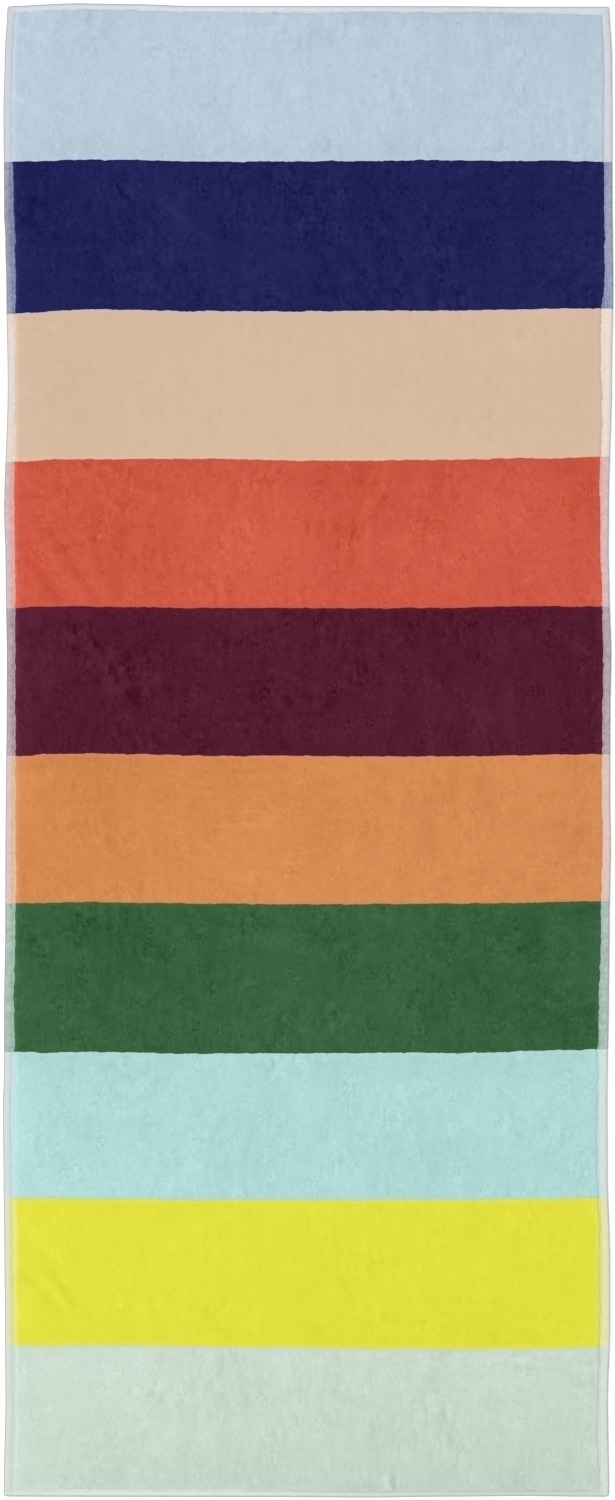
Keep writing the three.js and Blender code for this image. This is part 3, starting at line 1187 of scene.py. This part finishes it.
def velour(kind, band, tuft, neighbours=()):
    """The cotton pile of one band, with its tufts of a given size in metres across and down."""
    colour = from_hex(band["pile"])
    material, tree, shader = new_material(kind + "_" + band["name"], {
        **COTTON,
        "Roughness": 0.95,
        "Sheen Weight": 0.15,
        "Sheen Roughness": 0.4,
        "Sheen Tint": colour,
    })
    place = counted_in(tree, *tuft)
    streaks = noise(tree, place, 1 / COARSEST, detail=2, roughness=1.0)
    patches = noise(tree, place, 1 / PATCH, detail=1)
    steps = NOISE_STEPS * band["lively"]
    strength = ranged(tree, patches, steps * (1 - PATCH_RANGE / 2), steps * (1 + PATCH_RANGE / 2))
    centred = worked_out(tree, "SUBTRACT", streaks, 0.5)
    total = worked_out(tree, "MULTIPLY_ADD", centred, strength, kept_at_points(tree, "nap"))
    one_lighter = from_hex(band["pile"], LIGHTER_STEP)
    shown = mixed(tree, total, colour, one_lighter, clamp_factor=False, clamp_result=True)
    for field, other in neighbours:
        strayed = from_hex(half_way(band["pile"], other["pile"]))
        shown = mixed(tree, kept_at_points(tree, field), shown, strayed)
    # At its rim the pile is mixed a little towards the undyed colour where it is thin; the larger share
    # for pale bands is a painted highlight along the edge.
    rim_tint_and_highlight = RIM_TINT + PALE_RIM_HIGHLIGHT * brightness(colour)
    thin = worked_out(tree, "MULTIPLY", kept_at_points(tree, "rim"), rim_tint_and_highlight)
    tinted = mixed(tree, thin, shown, from_hex(UNDYED))
    dress(tree, shader, tinted, noise(tree, place, 1.0, detail=1, roughness=0.6), PILE_BUMP)
    return material


velours = []
for number, band in enumerate(BANDS):
    neighbours = [("upper_line", BANDS[number - 1])] if number > 0 else []
    neighbours += [("lower_line", BANDS[number + 1])] if number < len(BANDS) - 1 else []
    velours.append(velour("velour", band, TUFT, neighbours))
terries = [velour("terry", band, LOOP) for band in BANDS]

# %% [markdown]
# ## The flat weave of the hems
#
# The warp, which runs down the cloth, is undyed, and the coloured weft crosses it. In the flat weave of
# the hem both show, so each hem is a pale tint of its band. Towards the pile the beaten-up weft covers
# more of the warp, and out at the fold the hem is greyer; the very edge of the fold is also mixed
# towards a darker grey as painted shade, where it turns away from the light and meets the floor. The
# warp threads are about 0.5 mm apart, too fine to show from here, so they are drawn as faint lines 0.9
# mm apart. The weft doesn't cover the warp evenly either, which shows the more, the darker its dye is. A
# noise from 9 mm down to about 1 mm stands for that, in steps of lightness, added to the steps that the
# points keep, which are painted light and shade of the hem's slopes.

# %% Make the flat weave
WARP_SPACING = 0.9 * MM
WARP_LENGTH = 30 * MM
THREAD_SHARE = 0.5
COVERED = {"From Min": 0.3, "From Max": 0.95}
# The grey that is painted on the outer fold as its shade.
FOLD_SHADE_GREY = "#6C6B70"
WEAVE_BUMP = {"Strength": 0.3, "Distance": 0.15 * MM}
COVER_PATCH = 9 * MM
COVER_STEPS = 25
DARK_COVER_STEPS = 500


def flat_weave(band):
    """The hem of one band, from its colour at the outer fold to its colour beside the pile."""
    weft = from_hex(band["weft"])
    material, tree, shader = new_material("hem_" + band["name"], {**COTTON, "Roughness": 0.85})
    threads = noise(tree, counted_in(tree, WARP_SPACING, WARP_LENGTH), 1.0, detail=2)
    share = kept_at_points(tree, "hem_share")
    cover = ranged(tree, share, -THREAD_SHARE / 2, 1 - THREAD_SHARE / 2, COVERED)
    uneven = worked_out(tree, "MULTIPLY_ADD", threads, THREAD_SHARE, cover, use_clamp=True)
    woven = mixed(tree, uneven, from_hex(band["fold"]), weft)
    place = kept_at_points(tree, "cut_place", "Vector")
    patches = noise(tree, place, 1 / COVER_PATCH, detail=3, roughness=1.0)
    contrast = brightness(from_hex(UNDYED)) - brightness(from_hex(band["pile"]))
    half = (COVER_STEPS + DARK_COVER_STEPS * contrast**3) / 2
    # The random cover is added to the painted light and shade of the hem's slopes that the points keep.
    total = worked_out(tree, "ADD", ranged(tree, patches, -half, half), kept_at_points(tree, "painted_shading"))
    step = [lighter - usual for lighter, usual in zip(from_hex(band["weft"], 1), weft)]
    adding = {"blend_type": "ADD", "clamp_factor": False, "clamp_result": True}
    shaded = mixed(tree, total, woven, step, **adding)
    # The outer fold is mixed towards grey as painted shade.
    turned = mixed(tree, kept_at_points(tree, "painted_fold_shade"), shaded, from_hex(FOLD_SHADE_GREY))
    dress(tree, shader, turned, threads, WEAVE_BUMP)
    return material


hems = [flat_weave(band) for band in BANDS]

# %% [markdown]
# ## The sewing thread
#
# Hems are sewn with a spun polyester thread, twisted from two plies and slightly shinier than cotton.
# Its twist is about 0.5 mm long, so a noise of that size stands for it: it drives the bump, and it mixes
# a lit and a shaded colour of the thread as painted light and shade of the twist.

# %% Make the thread
# One thread colour as lit and as shaded, mixed by the twist as painted light and shade.
THREAD_COLOURS = {"shaded": "#AEAFB4", "lit": "#C6C7CB"}
TWIST = 0.5 * MM
TWIST_BUMP = {"Strength": 0.3, "Distance": 0.05 * MM}


def spun_thread():
    """Pale sewing thread with a faint twist, as a bump and as painted light and shade."""
    material, tree, shader = new_material("spun_polyester_thread", {"Roughness": 0.6, "IOR": 1.57})
    place = add_node(tree, "ShaderNodeTexCoord").outputs["Object"]
    twist = noise(tree, place, 1 / TWIST, detail=1)
    painted_twist_shading = mixed(tree, twist, from_hex(THREAD_COLOURS["shaded"]), from_hex(THREAD_COLOURS["lit"]))
    dress(tree, shader, painted_twist_shading, twist, TWIST_BUMP)
    return material


# %% [markdown]
# ## Dressing the pieces
#
# Each pad of pile takes its own velour. The ground cloth holds all the bands in one mesh, so each of
# its faces is told which material it has: the flat weave on the hems and under the pile for another
# third of a hem's width, and terry beyond, by the band in which the middle of the face lies.

# %% Give the pieces their materials
WEAVE_REACH = 1.33
for pile, material in zip(piles, velours):
    pile.data.materials.append(material)
hem_stitches.data.materials.append(spun_thread())
for material in hems + terries:
    towel_cloth.data.materials.append(material)
face_down = cloth_fields["cut_place"][cloth_faces, 1].mean(axis=1)
face_share = cloth_fields["hem_share"][cloth_faces].mean(axis=1)
face_band = np.clip(np.searchsorted(band_ends, face_down) - 1, 0, len(BANDS) - 1)
is_hem = face_share < WEAVE_REACH
face_slot = face_band + np.where(is_hem, 0, len(BANDS))
towel_cloth.data.polygons.foreach_set("material_index", face_slot.astype(np.int32))
print("faces of the ground cloth that are hem:", int(is_hem.sum()))

# %% [markdown]
# ## Joining the imported model
#
# The cloth stands for the imported solid, and every piece moves with the one body.

# %% Tie the pieces to the imported model
pieces = [towel_cloth, *piles, hem_stitches]
for piece in pieces:
    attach(piece, "root")
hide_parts("towel")

# %% [markdown]
# ## The studio
#
# The towel lies on a white floor, half a millimetre below it so that the two never fight for the same
# place. Soft light comes from all round, and one large soft lamp, far off to the left, gives the
# relief its faint shading. A view transform without a film curve keeps the dyes as they were mixed.

# %% Light the towel
FLOOR_SIDE = 30.0
FLOOR_DROP = 0.5 * MM
SKY_STRENGTH = 1.12
LAMP_PLACE = (-11.0, -1.5, 12.0)
LAMP_SIDE = 6.0
LAMP_POWER = 1200.0


def studio_floor():
    """A matt white floor that reaches past every view."""
    half = FLOOR_SIDE / 2
    corners = np.array([(-half, -half), (half, -half), (half, half), (-half, half)])
    points = np.column_stack([corners, np.full(len(corners), -FLOOR_DROP)])
    floor = make_piece("studio_floor", points, [[0, 1, 2, 3]])
    material, _, _ = new_material("matt_white_paint", {
        "Base Color": from_hex("#F2F2F2"),
        "Roughness": 0.9,
        "Specular IOR Level": 0.1,
    })
    floor.data.materials.append(material)
    return floor


studio_floor()
world = bpy.data.worlds.new("soft_white_room")
world.use_nodes = True
world.node_tree.nodes["Background"].inputs["Strength"].default_value = SKY_STRENGTH
world.node_tree.nodes["Background"].inputs["Color"].default_value = (1, 1, 1, 1)
bpy.context.scene.world = world
lamp_data = bpy.data.lights.new("softbox", "AREA")
lamp_data.shape = "SQUARE"
lamp_data.size = LAMP_SIDE
lamp_data.energy = LAMP_POWER
lamp = bpy.data.objects.new("softbox", lamp_data)
lamp.location = LAMP_PLACE
lamp.rotation_euler = lamp.location.to_track_quat("Z", "Y").to_euler()
lamp.visible_camera = False
bpy.context.scene.collection.objects.link(lamp)
bpy.context.scene.view_settings.view_transform = "Standard"

# %% [markdown]
# ## The camera
#
# The picture was taken from straight above with a long lens. It is 615 pixels wide and 1500 tall, and
# its long side takes in 1.76 m of floor, which fixes the height of the camera once a lens is chosen.

# %% Place the camera
LENS = 85
SENSOR = 36
SEEN_LENGTH = 1760 * MM
SEEN_MIDDLE = (-1.1 * MM, 0.7 * MM)
camera_data = bpy.data.cameras.new("camera")
camera_data.lens = LENS
camera_data.sensor_width = SENSOR
camera = bpy.data.objects.new("camera", camera_data)
camera.location = (*SEEN_MIDDLE, PILE_THICKNESS + SEEN_LENGTH * LENS / SENSOR)
bpy.context.scene.collection.objects.link(camera)
bpy.context.scene.camera = camera
print("camera height:", round(camera.location.z, 3), "m")
